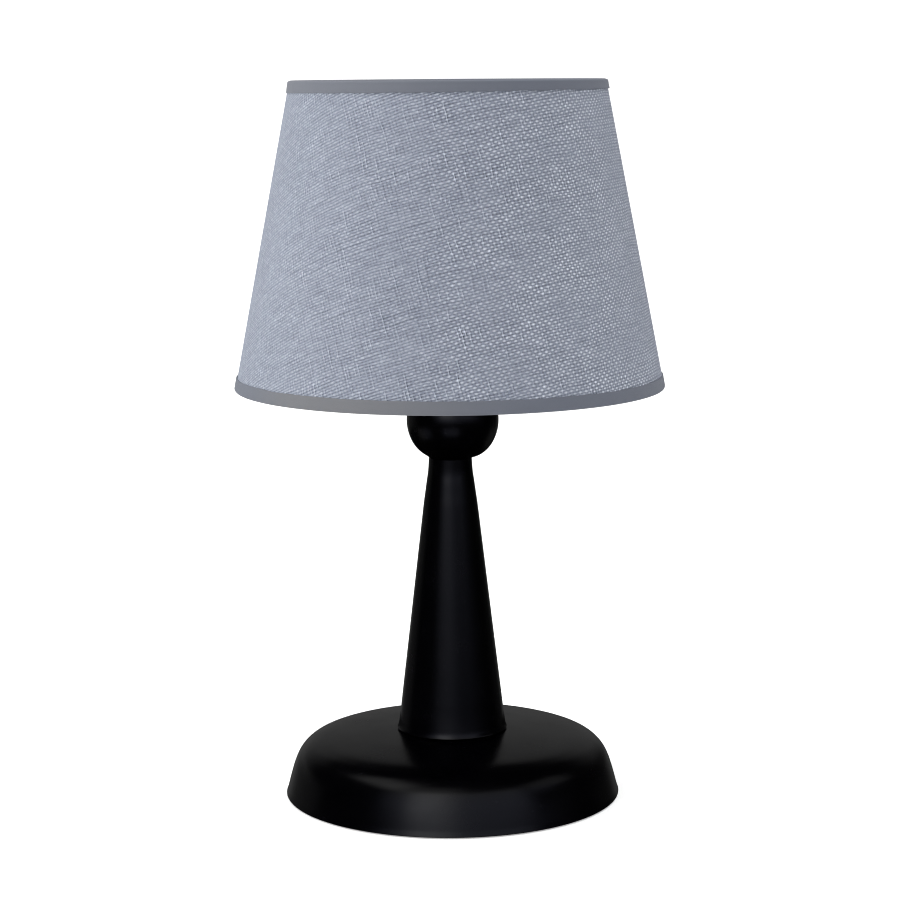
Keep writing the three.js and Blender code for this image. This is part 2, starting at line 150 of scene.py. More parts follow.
def through(points, per=8, closed=False):
    """A smooth open curve through points (centripetal Catmull-Rom)."""
    p = np.asarray(points, float)
    p = np.vstack([2 * p[0] - p[1], p, 2 * p[-1] - p[-2]])
    out = []
    for i in range(1, len(p) - 2):
        q = p[i - 1 : i + 3]
        t = np.concatenate(
            [[0], np.cumsum(np.linalg.norm(np.diff(q, axis=0), axis=1) ** 0.5)]
        )
        for u in np.linspace(t[1], t[2], per, endpoint=False):
            a = [
                (t[k + 1] - u) / (t[k + 1] - t[k]) * q[k]
                + (u - t[k]) / (t[k + 1] - t[k]) * q[k + 1]
                for k in range(3)
            ]
            b = [
                (t[k + 2] - u) / (t[k + 2] - t[k]) * a[k]
                + (u - t[k]) / (t[k + 2] - t[k]) * a[k + 1]
                for k in range(2)
            ]
            out.append((t[2] - u) / (t[2] - t[1]) * b[0] + (u - t[1]) / (t[2] - t[1]) * b[1])
    out.append(p[-2])
    return [tuple(v) for v in out]


def split_long(outline, most):
    """Adds points on the edges of a closed outline that are longer than most, mm."""
    out = []
    for i, a in enumerate(outline):
        b = outline[(i + 1) % len(outline)]
        if a[0] < 1e-6 and b[0] < 1e-6:
            out.append(a)
            continue
        k = max(1, math.ceil(math.dist(a, b) / most))
        out += [(a[0] + (b[0] - a[0]) * j / k, a[1] + (b[1] - a[1]) * j / k) for j in range(k)]
    return out


def turned(name, outline, n=160, shape=None, sharp=35.0):
    """A closed solid of revolution. shape(r, z, angle) -> (r, z) may change it round the axis."""
    angles = np.arange(n) / n * TAU
    verts, rows = [], []
    for r, z in outline:
        if r < 1e-6:
            rows.append([len(verts)])
            verts.append((0.0, 0.0, z))
            continue
        rows.append(list(range(len(verts), len(verts) + n)))
        for a in angles:
            q, h = shape(r, z, a) if shape else (r, z)
            verts.append((q * math.sin(a), -q * math.cos(a), h))
    faces = []
    for i, row in enumerate(rows):
        nxt = rows[(i + 1) % len(rows)]
        if len(row) == 1 and len(nxt) == 1:
            continue
        for k in range(n):
            j = (k + 1) % n
            if len(row) == 1:
                faces.append((row[0], nxt[j], nxt[k]))
            elif len(nxt) == 1:
                faces.append((row[k], row[j], nxt[0]))
            else:
                faces.append((row[k], row[j], nxt[j], nxt[k]))
    return make(name, verts, faces, sharp)


def swept(name, path, radius, sides=20):
    """A closed round bar along a path; radius(t) is in mm, t from 0 to 1."""
    path = [Vector(p) for p in path]
    n = len(path)
    verts, faces = [], []
    side = None
    for i, p in enumerate(path):
        d = (path[min(i + 1, n - 1)] - path[max(i - 1, 0)]).normalized()
        if side is None:
            side = d.orthogonal().normalized()
        side = (side - d * side.dot(d)).normalized()
        up = d.cross(side)
        r = radius(i / (n - 1))
        for k in range(sides):
            a = TAU * k / sides
            verts.append(tuple(p + (side * math.cos(a) + up * math.sin(a)) * r))
    for i in range(n - 1):
        for k in range(sides):
            j = (k + 1) % sides
            faces.append((i * sides + k, i * sides + j, (i + 1) * sides + j, (i + 1) * sides + k))
    for end, inner in ((0, path[0]), (n - 1, path[-1])):
        c = len(verts)
        d = (path[end] - path[1 if end == 0 else n - 2]).normalized()
        verts.append(tuple(inner + d * radius(end / (n - 1)) * 0.35))
        for k in range(sides):
            faces.append((end * sides + k, end * sides + (k + 1) % sides, c))
    return make(name, verts, faces, 60)


def moved(ob, rotate_z=0.0, shift=(0, 0, 0), rotate_x=0.0):
    """Turns and shifts the vertices, so that the object itself stays at the origin. mm, radians."""
    from mathutils import Matrix

    ob.data.transform(
        Matrix.Translation(Vector(shift) * MM)
        @ Matrix.Rotation(rotate_z, 4, "Z")
        @ Matrix.Rotation(rotate_x, 4, "X")
    )
    return ob


def smooth(t):
    t = max(0.0, min(1.0, t))
    return t * t * (3 - 2 * t)


# ------------------------------------------------------------------ material helpers
class Nodes:
    """Short calls for the nodes of one tree."""

    def __init__(self, tree):
        self.tree = tree

    def node(self, kind, inputs=(), **props):
        n = self.tree.nodes.new("ShaderNode" + kind)
        for k, v in props.items():
            setattr(n, k, v)
        for key, value in dict(inputs).items():
            self.put(n.inputs[key], value)
        return n

    def put(self, socket, value):
        if isinstance(value, bpy.types.NodeSocket):
            self.tree.links.new(value, socket)
        else:
            socket.default_value = value

    def math(self, op, *args, clamp=False):
        n = self.tree.nodes.new("ShaderNodeMath")
        n.operation = op
        n.use_clamp = clamp
        for i, a in enumerate(args):
            self.put(n.inputs[i], a)
        return n.outputs[0]

    def coords(self):
        return self.node("TexCoord").outputs["Object"]

    def stretched(self, scale, vector=None):
        v = vector if vector is not None else self.coords()
        return self.node("Mapping", {"Vector": v, "Scale": scale}).outputs[0]

    def noise(self, vector, scale, detail=2.0, rough=0.5, distortion=0.0):
        n = self.node(
            "TexNoise",
            {
                "Vector": vector,
                "Scale": scale,
                "Detail": detail,
                "Roughness": rough,
                "Distortion": distortion,
            },
        )
        return n.outputs[0]

    def noise1(self, w, detail=0.0):
        """Noise over one number."""
        n = self.node("TexNoise", {"W": w, "Scale": 1.0, "Detail": detail}, noise_dimensions="1D")
        return n.outputs[0]

    def remap(self, value, a, b, c, d, clamp=True, how="LINEAR"):
        n = self.node(
            "MapRange",
            {"Value": value, "From Min": a, "From Max": b, "To Min": c, "To Max": d},
            clamp=clamp,
            interpolation_type=how,
        )
        return n.outputs[0]

    def mix(self, factor, a, b):
        n = self.tree.nodes.new("ShaderNodeMix")
        n.data_type = "RGBA"
        self.put(n.inputs[0], factor)
        self.put(n.inputs[6], a if isinstance(a, bpy.types.NodeSocket) else (*a, 1))
        self.put(n.inputs[7], b if isinstance(b, bpy.types.NodeSocket) else (*b, 1))
        return n.outputs[2]

    def tint(self, colour, factor):
        """colour times a number."""
        n = self.node("VectorMath", operation="SCALE")
        self.put(n.inputs[0], colour if isinstance(colour, bpy.types.NodeSocket) else tuple(colour))
        self.put(n.inputs["Scale"], factor)
        return n.outputs[0]

    def float_mix(self, factor, a, b):
        n = self.tree.nodes.new("ShaderNodeMix")
        n.data_type = "FLOAT"
        for k, value in ((0, factor), (2, a), (3, b)):
            self.put(n.inputs[k], value)
        return n.outputs[0]

    def per_thread(self, index, seed):
        """A number from 0 to 1 for each whole number, evenly spread."""
        n = self.node("TexWhiteNoise", {"W": self.math("ADD", index, seed)}, noise_dimensions="1D")
        return n.outputs["Value"]


class Finish(Nodes):
    """A node material."""

    def __init__(self, name, **values):
        self.material = bpy.data.materials.new(name)
        self.material.use_nodes = True
        super().__init__(self.material.node_tree)
        self.bsdf = next(n for n in self.tree.nodes if n.type == "BSDF_PRINCIPLED")
        for key, value in values.items():
            self.bsdf.inputs[key.replace("_", " ")].default_value = value

    def bump(self, height, distance, strength=1.0, normal=None):
        ins = {"Height": height, "Distance": distance, "Strength": strength}
        if normal is not None:
            ins["Normal"] = normal
        return self.node("Bump", ins).outputs[0]

    def set(self, **sockets):
        for key, value in sockets.items():
            self.put(self.bsdf.inputs[key.replace("_", " ")], value)
        return self


def dress(ob, finish, *, body, replaces=()):
    ob.data.materials.clear()
    ob.data.materials.append(finish.material)
    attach(ob, body)
    if replaces:
        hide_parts(*replaces)
    return ob


# ------------------------------------------------------------------ camera
camera = bpy.data.objects.new("camera", bpy.data.cameras.new("camera"))
scene.collection.objects.link(camera)
camera.data.sensor_width = 36
camera.data.lens = 2514.5 / 900 * 36
camera.data.clip_start, camera.data.clip_end = 0.05, 20
camera.location = (0.0011, -1.1632, 0.3400)
camera.rotation_euler = (math.radians(90 - 8.61), math.radians(0.4), 0)
scene.camera = camera
scene.cycles.filter_width = 1.1  # as crisp as the photograph

# ------------------------------------------------------------------ stage and light
def backdrop():
    """A pale floor that curves up far behind into a wall."""
    profile = [(-4.0, 0.0), (2.6, 0.0)]
    for k in range(1, 13):
        a = math.pi / 2 * k / 12
        profile.append((2.6 + 1.2 * math.sin(a), 1.2 - 1.2 * math.cos(a)))
    profile.append((3.8, 5.0))
    verts, faces = [], []
    for y, z in profile:
        verts += [(-6.0, y, z), (6.0, y, z)]
    for i in range(len(profile) - 1):
        faces.append((2 * i, 2 * i + 1, 2 * i + 3, 2 * i + 2))
    mesh = bpy.data.meshes.new("backdrop")
    mesh.from_pydata(verts, [], faces)
    mesh.shade_smooth()
    ob = bpy.data.objects.new("backdrop", mesh)
    scene.collection.objects.link(ob)
    finish = Finish("pale_floor", Roughness=0.95)
    finish.bsdf.inputs["Specular IOR Level"].default_value = 0.0
    grain = finish.noise(finish.coords(), 3.0, 2.0)
    finish.set(
        Base_Color=finish.mix(finish.remap(grain, 0.3, 0.7, 0, 1), (0.86, 0.86, 0.86), (0.88, 0.88, 0.88)),
        Emission_Color=(1, 1, 1, 1),
        Emission_Strength=finish.math("MULTIPLY", finish.node("LightPath").outputs["Is Camera Ray"], 0.34),
    )
    mesh.materials.append(finish.material)
    ob.visible_glossy = False
    return ob


backdrop()


def softbox(name, at, aim, wide, high, radiance, colour=(1, 1, 1)):
    """A big soft light for the cloth and the floor. What the gloss sees is in the world."""
    light = bpy.data.lights.new(name, "AREA")
    light.shape = "RECTANGLE"
    light.size, light.size_y = wide, high
    light.energy = radiance * math.pi * wide * high
    light.color = colour
    ob = bpy.data.objects.new(name, light)
    ob.location = at
    ob.rotation_euler = (Vector(aim) - Vector(at)).to_track_quat("-Z", "Y").to_euler()
    ob.visible_glossy = False
    ob.visible_camera = False
    scene.collection.objects.link(ob)
    return ob


softbox("left_box", (-1.9, -0.35, 0.85), (0, 0, 0.25), 2.3, 1.5, 1.81, (1.0, 0.995, 0.955))
top = bpy.data.lights.new("top_light", "SUN")
top.energy = 2.0
top.angle = math.radians(90)
top_ob = bpy.data.objects.new("top_light", top)
top_ob.rotation_euler = (math.radians(-8), 0, 0)
top_ob.visible_glossy = False
scene.collection.objects.link(top_ob)

world = bpy.data.worlds.new("studio")
scene.world = world
world.use_nodes = True
world.cycles.sampling_method = "NONE"


def studio(tree):
    """White behind the lamp, even light for the cloth, and soft panels for the gloss."""
    w = Nodes(tree)
    out = next(n for n in tree.nodes if n.type == "OUTPUT_WORLD")
    back = next(n for n in tree.nodes if n.type == "BACKGROUND")
    way = w.node("SeparateXYZ", {"Vector": w.node("TexCoord").outputs["Generated"]})
    x, y, z = way.outputs
    azimuth = w.math("ARCTAN2", x, w.math("MULTIPLY", y, -1.0))  # 0 towards -Y, + towards +X
    height = w.math("ARCSINE", z)

    def panel(az, half, soft, low, high, soft_low, soft_high, level):
        """A soft-edged patch: half as wide as half each side of az, from low to high."""
        d = w.math("ABSOLUTE", w.math("SUBTRACT", azimuth, math.radians(az)))
        if az == 180:
            d = w.math("SUBTRACT", math.pi, w.math("ABSOLUTE", azimuth))
        a = w.remap(d, math.radians(half), math.radians(half + soft), 1, 0, how="SMOOTHSTEP")
        b = w.remap(height, math.radians(low - soft_low), math.radians(low), 0, 1, how="SMOOTHSTEP")
        c = w.remap(height, math.radians(high), math.radians(high + soft_high), 1, 0, how="SMOOTHSTEP")
        return w.math("MULTIPLY", w.math("MULTIPLY", a, w.math("MULTIPLY", b, c)), level)

    gloss = 0.004
    for values in (
        (-17, 10, 13, 13, 34, 5, 18, 0.61),
        (-35, 7, 19, 13, 34, 5, 18, 0.20),
        (15, 33, 18, 13, 37, 8, 12, 0.31),
        (-14, 6, 34, 4, 6, 8, 7, 0.27),
        (35, 5, 60, 4, 6, 8, 7, 0.14),
        (-4, 12, 16, -30, -20, 9, 9, 0.19),
        (-76, 16, 24, 50, 60, 12, 14, 0.46),
        (-30, 25, 20, 44, 54, 8, 14, 0.22),
        (82, 12, 14, 28, 40, 8, 10, 0.19),
        (180, 16, 46, 3, 29, 5, 9, 0.138),
        (180, 20, 18, -12, -3, 4, 5, 0.085),
        (-140, 25, 18, -12, 5, 4, 5, 0.045),
        (145, 22, 14, -12, -1, 4, 4, 0.014),
        (-81, 12, 16, -32, -19, 6, 5, 0.13),
        (131, 12, 14, -32, -17, 6, 5, 0.045),
    ):
        gloss = w.math("ADD", gloss, panel(*values))
    # a dark gap on the right, low behind the lamp
    dark = w.math("MULTIPLY", w.remap(azimuth, math.radians(118), math.radians(132), 0, 1), w.remap(azimuth, math.radians(150), math.radians(164), 1, 0))
    dark = w.math("MULTIPLY", dark, w.math("MULTIPLY", w.remap(height, math.radians(-4), math.radians(-1), 0, 1), w.remap(height, math.radians(9), math.radians(17), 1, 0)))
    gloss = w.math("MULTIPLY", gloss, w.remap(dark, 0, 1, 1, 0.3))
    path = w.node("LightPath").outputs
    # black in black: the column's image in the base stays dark
    gloss = w.math("MULTIPLY", gloss, w.remap(path["Glossy Depth"], 1.2, 1.8, 1.0, 0.15))
    cloth = w.remap(x, 0.25, 0.95, 0.59, 0.46)  # a little less from the right
    level = w.float_mix(path["Is Glossy Ray"], cloth, gloss)
    level = w.float_mix(path["Is Camera Ray"], level, 1.0)
    # the dim reflections are bluish, the bright one neutral
    cool = w.math("MULTIPLY", w.remap(gloss, 0.25, 0.70, 1.0, 0.3), w.remap(height, math.radians(24), math.radians(44), 1, 0))
    cool = w.math("MULTIPLY", cool, w.remap(y, -0.3, 0.1, 1, 0))
    cool = w.math("MULTIPLY", path["Is Glossy Ray"], cool)
    w.put(back.inputs["Color"], w.mix(cool, (1, 1, 1), (0.90, 0.95, 1.24)))
    w.put(back.inputs["Strength"], level)
    w.put(out.inputs["Surface"], back.outputs[0])


studio(world.node_tree)
scene.view_settings.view_transform = "Standard"
scene.view_settings.look = "None"

# ------------------------------------------------------------------ finishes
LACQUER = Finish("black_lacquer", Roughness=0.27)
LACQUER.bsdf.inputs["Specular IOR Level"].default_value = 0.5
_v = LACQUER.coords()
_cloud = LACQUER.noise(_v, 45.0, 3.0, 0.6)
_peel = LACQUER.noise(_v, 900.0, 2.0, 0.5)
_dust = LACQUER.noise(_v, 2600.0, 1.0, 0.5)
_specks = LACQUER.remap(LACQUER.noise(_v, 700.0, 1.0, 0.4), 0.755, 0.80, 0, 1)
LACQUER.set(
    Base_Color=LACQUER.mix(
        _specks,
        LACQUER.mix(LACQUER.remap(_cloud, 0.35, 0.7, 0, 1), (0.0001, 0.0001, 0.0005), (0.0003, 0.0002, 0.0009)),
        (0.006, 0.006, 0.008),
    ),
    Roughness=LACQUER.remap(_cloud, 0.3, 0.7, 0.21, 0.28),
    Normal=LACQUER.bump(
        LACQUER.math("ADD", _peel, LACQUER.math("MULTIPLY", _dust, 0.25)),
        0.00002,
        0.25,
    ),
)

BLACK_PLASTIC = Finish("black_plastic", Roughness=0.42)
BLACK_PLASTIC.bsdf.inputs["Specular IOR Level"].default_value = 0.45
_v = BLACK_PLASTIC.coords()
BLACK_PLASTIC.set(
    Base_Color=BLACK_PLASTIC.mix(
        BLACK_PLASTIC.remap(BLACK_PLASTIC.noise(_v, 120.0, 3.0), 0.35, 0.7, 0, 1),
        (0.009, 0.009, 0.0095),
        (0.014, 0.014, 0.0145),
    ),
    Roughness=BLACK_PLASTIC.remap(BLACK_PLASTIC.noise(_v, 300.0, 2.0), 0.3, 0.7, 0.36, 0.5),
    Normal=BLACK_PLASTIC.bump(BLACK_PLASTIC.noise(_v, 3500.0, 1.0), 0.00003, 0.35),
)

FELT = Finish("felt", Roughness=0.96)
FELT.bsdf.inputs["Sheen Weight"].default_value = 0.25
FELT.bsdf.inputs["Sheen Roughness"].default_value = 0.6
FELT.bsdf.inputs["Specular IOR Level"].default_value = 0.1
_v = FELT.coords()
_fibres = FELT.noise(FELT.stretched((1, 3.2, 1), _v), 900.0, 5.0, 0.7, 1.5)
_fibres2 = FELT.noise(FELT.stretched((2.7, 1, 1), _v), 700.0, 5.0, 0.7, 2.0)
_both = FELT.math("MULTIPLY", FELT.math("ADD", _fibres, _fibres2), 0.5)
FELT.set(
    Base_Color=FELT.mix(FELT.remap(_both, 0.3, 0.7, 0, 1), (0.010, 0.010, 0.011), (0.034, 0.034, 0.036)),
    Normal=FELT.bump(_both, 0.0004, 0.8),
)

ZINC = Finish("zinc_steel", Metallic=1.0, Roughness=0.32)
_v = ZINC.coords()
ZINC.set(
    Base_Color=ZINC.mix(ZINC.remap(ZINC.noise(_v, 200.0, 4.0), 0.35, 0.65, 0, 1), (0.50, 0.52, 0.56), (0.64, 0.65, 0.68)),
    Roughness=ZINC.remap(ZINC.noise(_v, 800.0, 3.0), 0.3, 0.7, 0.24, 0.42),
    Normal=ZINC.bump(ZINC.noise(ZINC.stretched((1, 1, 6), _v), 1200.0, 2.0), 0.00002, 0.3),
)

BRASS = Finish("brass", Metallic=1.0, Roughness=0.3)
_v = BRASS.coords()
BRASS.set(
    Base_Color=BRASS.mix(BRASS.remap(BRASS.noise(_v, 260.0, 4.0), 0.35, 0.65, 0, 1), (0.56, 0.37, 0.12), (0.72, 0.52, 0.20)),
    Roughness=BRASS.remap(BRASS.noise(_v, 900.0, 3.0), 0.3, 0.7, 0.22, 0.4),
    Normal=BRASS.bump(BRASS.noise(BRASS.stretched((6, 1, 1), _v), 1500.0, 2.0), 0.00002, 0.3),
)

NICKEL = Finish("nickel_cap", Metallic=1.0, Roughness=0.22)
_v = NICKEL.coords()
NICKEL.set(
    Base_Color=NICKEL.mix(NICKEL.remap(NICKEL.noise(_v, 180.0, 4.0), 0.35, 0.65, 0, 1), (0.58, 0.57, 0.54), (0.70, 0.69, 0.66)),
    Roughness=NICKEL.remap(NICKEL.noise(_v, 700.0, 3.0), 0.3, 0.7, 0.18, 0.34),
    Normal=NICKEL.bump(NICKEL.noise(_v, 500.0, 3.0), 0.00003, 0.3),
)

STEATITE = Finish("steatite", Roughness=0.6)
_v = STEATITE.coords()
STEATITE.set(
    Base_Color=STEATITE.mix(STEATITE.remap(STEATITE.noise(_v, 350.0, 5.0, 0.7), 0.35, 0.7, 0, 1), (0.72, 0.68, 0.58), (0.82, 0.79, 0.71)),
    Roughness=STEATITE.remap(STEATITE.noise(_v, 900.0, 2.0), 0.3, 0.7, 0.5, 0.7),
    Normal=STEATITE.bump(STEATITE.noise(_v, 2500.0, 2.0), 0.00005, 0.4),
)

GLASS_BLACK = Finish("black_glass", Roughness=0.12)
_v = GLASS_BLACK.coords()
GLASS_BLACK.set(
    Base_Color=GLASS_BLACK.mix(GLASS_BLACK.remap(GLASS_BLACK.noise(_v, 300.0, 2.0), 0.3, 0.7, 0, 1), (0.006, 0.006, 0.008), (0.014, 0.013, 0.018)),
    Roughness=GLASS_BLACK.remap(GLASS_BLACK.noise(_v, 500.0, 2.0), 0.3, 0.7, 0.08, 0.2),
    Normal=GLASS_BLACK.bump(GLASS_BLACK.noise(_v, 260.0, 2.0), 0.0001, 0.3),
)

WHITE_PLASTIC = Finish("white_plastic", Roughness=0.38)
_v = WHITE_PLASTIC.coords()
WHITE_PLASTIC.set(
    Base_Color=WHITE_PLASTIC.mix(WHITE_PLASTIC.remap(WHITE_PLASTIC.noise(_v, 60.0, 3.0), 0.35, 0.7, 0, 1), (0.78, 0.78, 0.76), (0.84, 0.84, 0.82)),
    Roughness=WHITE_PLASTIC.remap(WHITE_PLASTIC.noise(_v, 400.0, 2.0), 0.3, 0.7, 0.33, 0.45),
    Normal=WHITE_PLASTIC.bump(WHITE_PLASTIC.noise(_v, 3000.0, 1.0), 0.00002, 0.3),
)

OPAL = Finish("opal_globe", Roughness=0.42)
OPAL.bsdf.inputs["Subsurface Weight"].default_value = 0.5
OPAL.bsdf.inputs["Subsurface Radius"].default_value = (0.004, 0.004, 0.0035)
OPAL.bsdf.inputs["Subsurface Scale"].default_value = 1.0
_v = OPAL.coords()
OPAL.set(
    Base_Color=OPAL.mix(OPAL.remap(OPAL.noise(_v, 30.0, 2.0), 0.3, 0.7, 0, 1), (0.86, 0.85, 0.82), (0.90, 0.89, 0.86)),
    Roughness=OPAL.remap(OPAL.noise(_v, 600.0, 2.0), 0.3, 0.7, 0.38, 0.48),
    Normal=OPAL.bump(OPAL.noise(_v, 4000.0, 1.0), 0.00001, 0.3),
)

LED_BOARD = Finish("led_board", Roughness=0.5)
_v = LED_BOARD.coords()
_cells = LED_BOARD.node("TexVoronoi", {"Vector": _v, "Scale": 320.0}).outputs["Distance"]
LED_BOARD.set(
    Base_Color=LED_BOARD.mix(LED_BOARD.remap(_cells, 0.25, 0.3, 0, 1), (0.85, 0.72, 0.2), (0.8, 0.82, 0.81)),
    Normal=LED_BOARD.bump(LED_BOARD.noise(_v, 2000.0, 2.0), 0.00003, 0.3),
)

WIRE = Finish("white_wire", Roughness=0.42)
_v = WIRE.coords()
WIRE.set(
    Base_Color=WIRE.mix(WIRE.remap(WIRE.noise(_v, 150.0, 4.0), 0.35, 0.7, 0, 1), (0.70, 0.70, 0.68), (0.79, 0.79, 0.77)),
    Roughness=WIRE.remap(WIRE.noise(_v, 500.0, 2.0), 0.3, 0.7, 0.36, 0.52),
    Normal=WIRE.bump(WIRE.noise(_v, 1400.0, 2.0), 0.00008, 0.5),
)

LINER = Finish("liner_film", Roughness=0.55)
_v = LINER.coords()
LINER.set(
    Base_Color=LINER.mix(LINER.remap(LINER.noise(_v, 25.0, 3.0), 0.35, 0.7, 0, 1), (0.76, 0.76, 0.74), (0.82, 0.82, 0.80)),
    Roughness=LINER.remap(LINER.noise(_v, 90.0, 2.0), 0.3, 0.7, 0.48, 0.62),
    Normal=LINER.bump(LINER.noise(_v, 1500.0, 3.0), 0.00004, 0.5),
)

TAPE = Finish("edge_tape", Roughness=0.9)
TAPE.bsdf.inputs["Sheen Weight"].default_value = 0.1
TAPE.bsdf.inputs["Specular IOR Level"].default_value = 0.15
_v = TAPE.coords()
_fine = TAPE.noise(_v, 3200.0, 2.0, 0.6)
_soft = TAPE.noise(_v, 60.0, 3.0, 0.6)
# painted highlight: in a band left of the middle, towards the light, the tape is painted lighter, the top tape a little
# less than the bottom one
_x, _, _z = TAPE.node("SeparateXYZ", {"Vector": _v}).outputs
_painted_light_side = TAPE.math(
    "MULTIPLY",
    TAPE.remap(_x, -0.098, -0.066, 0, 1, how="SMOOTHSTEP"),
    TAPE.remap(_x, -0.050, 0.045, 1, 0, how="SMOOTHSTEP"),
)
_mottle = TAPE.math("ADD", TAPE.math("MULTIPLY", _fine, 0.6), TAPE.math("MULTIPLY", _soft, 0.4))
TAPE.set(
    Base_Color=TAPE.mix(
        _painted_light_side,
        TAPE.mix(_mottle, (0.138, 0.151, 0.186), (0.167, 0.182, 0.221)),
        TAPE.mix(
            TAPE.remap(_z, 0.25, 0.30, 0, 1),
            TAPE.mix(_mottle, (0.172, 0.177, 0.193), (0.208, 0.213, 0.230)),
            TAPE.mix(_mottle, (0.158, 0.169, 0.198), (0.192, 0.204, 0.238)),
        ),
    ),
    Normal=TAPE.bump(_fine, 0.0002, 0.6),
)

# Coarse plain weave. "cut" holds the place on the flat panel in mm, turned to the grain: x runs
# along the weft, y along the warp.
WARP_PITCH, WEFT_PITCH = 1.59, 1.29
GRAIN = math.radians(14.3)  # the weft's rise to the right, at the front


def weave_finish():
    f = Finish("linen_weave", Roughness=0.85)
    f.bsdf.inputs["Sheen Weight"].default_value = 0.02
    f.bsdf.inputs["Sheen Roughness"].default_value = 0.5
    f.bsdf.inputs["Specular IOR Level"].default_value = 0.25
    cut = f.node("Attribute", attribute_name="cut", attribute_type="GEOMETRY").outputs["Vector"]
    xyz = f.node("SeparateXYZ", {"Vector": cut})
    u, v = xyz.outputs[0], xyz.outputs[1]
    # threads wander a little
    far = f.node("VectorMath", {0: cut, 1: (231.7, 112.9, 0)}, operation="ADD").outputs[0]
    fine = f.noise(cut, 0.33, 1.0)
    u = f.math("ADD", u, f.math("ADD", f.remap(f.noise(cut, 0.045, 1.0), 0, 1, -1.2, 1.2, False), f.remap(fine, 0, 1, -0.28, 0.28, False)))
    v = f.math("ADD", v, f.math("ADD", f.remap(f.noise(far, 0.05, 1.0), 0, 1, -0.8, 0.8, False), f.remap(fine, 0, 1, 0.18, -0.18, False)))
    us = f.math("DIVIDE", u, WARP_PITCH)
    vs = f.math("DIVIDE", v, WEFT_PITCH)
    i, j = f.math("FLOOR", us), f.math("FLOOR", vs)
    # uneven spacing: each thread lies a little to one side
    off_i = f.remap(f.per_thread(i, 11.0), 0, 1, -0.12, 0.12)
    off_j = f.remap(f.per_thread(j, 57.0), 0, 1, -0.10, 0.10)
    fu = f.math("SUBTRACT", f.math("SUBTRACT", us, i), f.math("ADD", 0.5, off_i))
    fv = f.math("SUBTRACT", f.math("SUBTRACT", vs, j), f.math("ADD", 0.5, off_j))
    parity = f.math("MODULO", f.math("ADD", f.math("ADD", i, j), 20000.0), 2.0)
    sign = f.remap(parity, 0, 1, -1, 1, False)  # +1 where the weft lies on top
    # how far the threads stand up where they cross: in places the cloth is pressed nearly flat. Round the shade they
    # are also set flatter on the left, towards the light, and higher on the right, where it grazes, so the painted
    # light and shade of the threads below follow the light's direction
    turn = f.node("Attribute", attribute_name="turn", attribute_type="GEOMETRY").outputs["Fac"]
    pressed = f.remap(f.noise(cut, 0.055, 2.0, 0.6), 0.3, 0.7, 0.62, 1.28)
    crimp = f.math(
        "ADD",
        f.remap(turn, -0.35, 0.45, 0.30, 0.88, how="SMOOTHSTEP"),
        f.math(
            "ADD",
            f.remap(turn, 0.5, 0.9, 0.0, 0.30, how="SMOOTHSTEP"),
            f.remap(turn, -1.15, -0.7, 0.10, 0.0, how="SMOOTHSTEP"),
        ),
    )
    behind = f.remap(f.math("ABSOLUTE", turn), 2.0, 3.0, 0, 1, how="SMOOTHSTEP")
    crimp = f.math("MULTIPLY", f.float_mix(behind, crimp, 0.6), pressed)

    def stretch(index, along, seed, pitch):
        """Noise that changes along a thread and is different on each one."""
        x = f.math("ADD", f.math("MULTIPLY", index, 3.71), seed)
        return f.noise(f.node("CombineXYZ", {0: x, 1: f.math("MULTIPLY", along, pitch)}).outputs[0], 1.0, 1.0, 0.5)

    # slubs: the thread's width changes along it and from thread to thread
    slub_i = stretch(i, v, 0.0, 0.13)
    slub_j = stretch(j, u, 500.0, 0.11)
    width_i = f.remap(slub_i, 0.3, 0.7, 0.27, 0.42)
    width_j = f.remap(slub_j, 0.3, 0.7, 0.29, 0.45)

    def crown(x, w):
        q = f.math("DIVIDE", x, w)
        return f.math("SQRT", f.math("MAXIMUM", f.math("SUBTRACT", 1.0, f.math("MULTIPLY", q, q)), 0.0))

    wave_u = f.math("MULTIPLY", f.math("COSINE", f.math("MULTIPLY", fu, math.pi)), crimp)
    wave_v = f.math("MULTIPLY", f.math("COSINE", f.math("MULTIPLY", fv, math.pi)), crimp)
    weft = f.math(
        "ADD",
        f.math("MULTIPLY", f.math("MULTIPLY", wave_u, sign), 0.48),
        f.math("MULTIPLY", crown(fv, width_j), 0.72),
    )
    warp = f.math(
        "ADD",
        f.math("MULTIPLY", f.math("MULTIPLY", wave_v, sign), -0.24),
        f.math("MULTIPLY", crown(fu, width_i), 0.38),
    )
    height = f.math("MAXIMUM", f.math("MAXIMUM", weft, warp), 0.0)
    on_weft = f.math("GREATER_THAN", weft, warp)
    # fibres along each thread
    fib_w = f.noise(f.node("CombineXYZ", {0: f.math("MULTIPLY", u, 0.7), 1: f.math("MULTIPLY", v, 5.0)}).outputs[0], 1.0, 3.0, 0.7)
    fib_p = f.noise(f.node("CombineXYZ", {0: f.math("MULTIPLY", u, 5.0), 1: f.math("MULTIPLY", v, 0.7)}).outputs[0], 1.0, 3.0, 0.7)
    fibres = f.float_mix(on_weft, fib_p, fib_w)
    # painted light and shade: the crests are painted pale, the threads' flanks and the gaps painted dark; on the side
    # towards the light the warp threads' tone is also spread wider
    cube = f.math("POWER", height, 3.0)
    lit = f.math("ADD", f.math("ADD", f.math("MULTIPLY", height, 0.62), f.math("MULTIPLY", cube, 0.44)), 0.30)
    warp_light_bias = f.remap(turn, -0.20, 0.50, 1.0, 0.0, how="SMOOTHSTEP")
    tone_i = f.float_mix(warp_light_bias, f.remap(slub_i, 0.3, 0.7, 0.88, 1.04), f.remap(slub_i, 0.3, 0.7, 0.80, 1.12))
    tone_j = f.remap(slub_j, 0.3, 0.7, 0.885, 1.155)
    lit = f.math("MULTIPLY", lit, f.float_mix(on_weft, tone_i, tone_j))
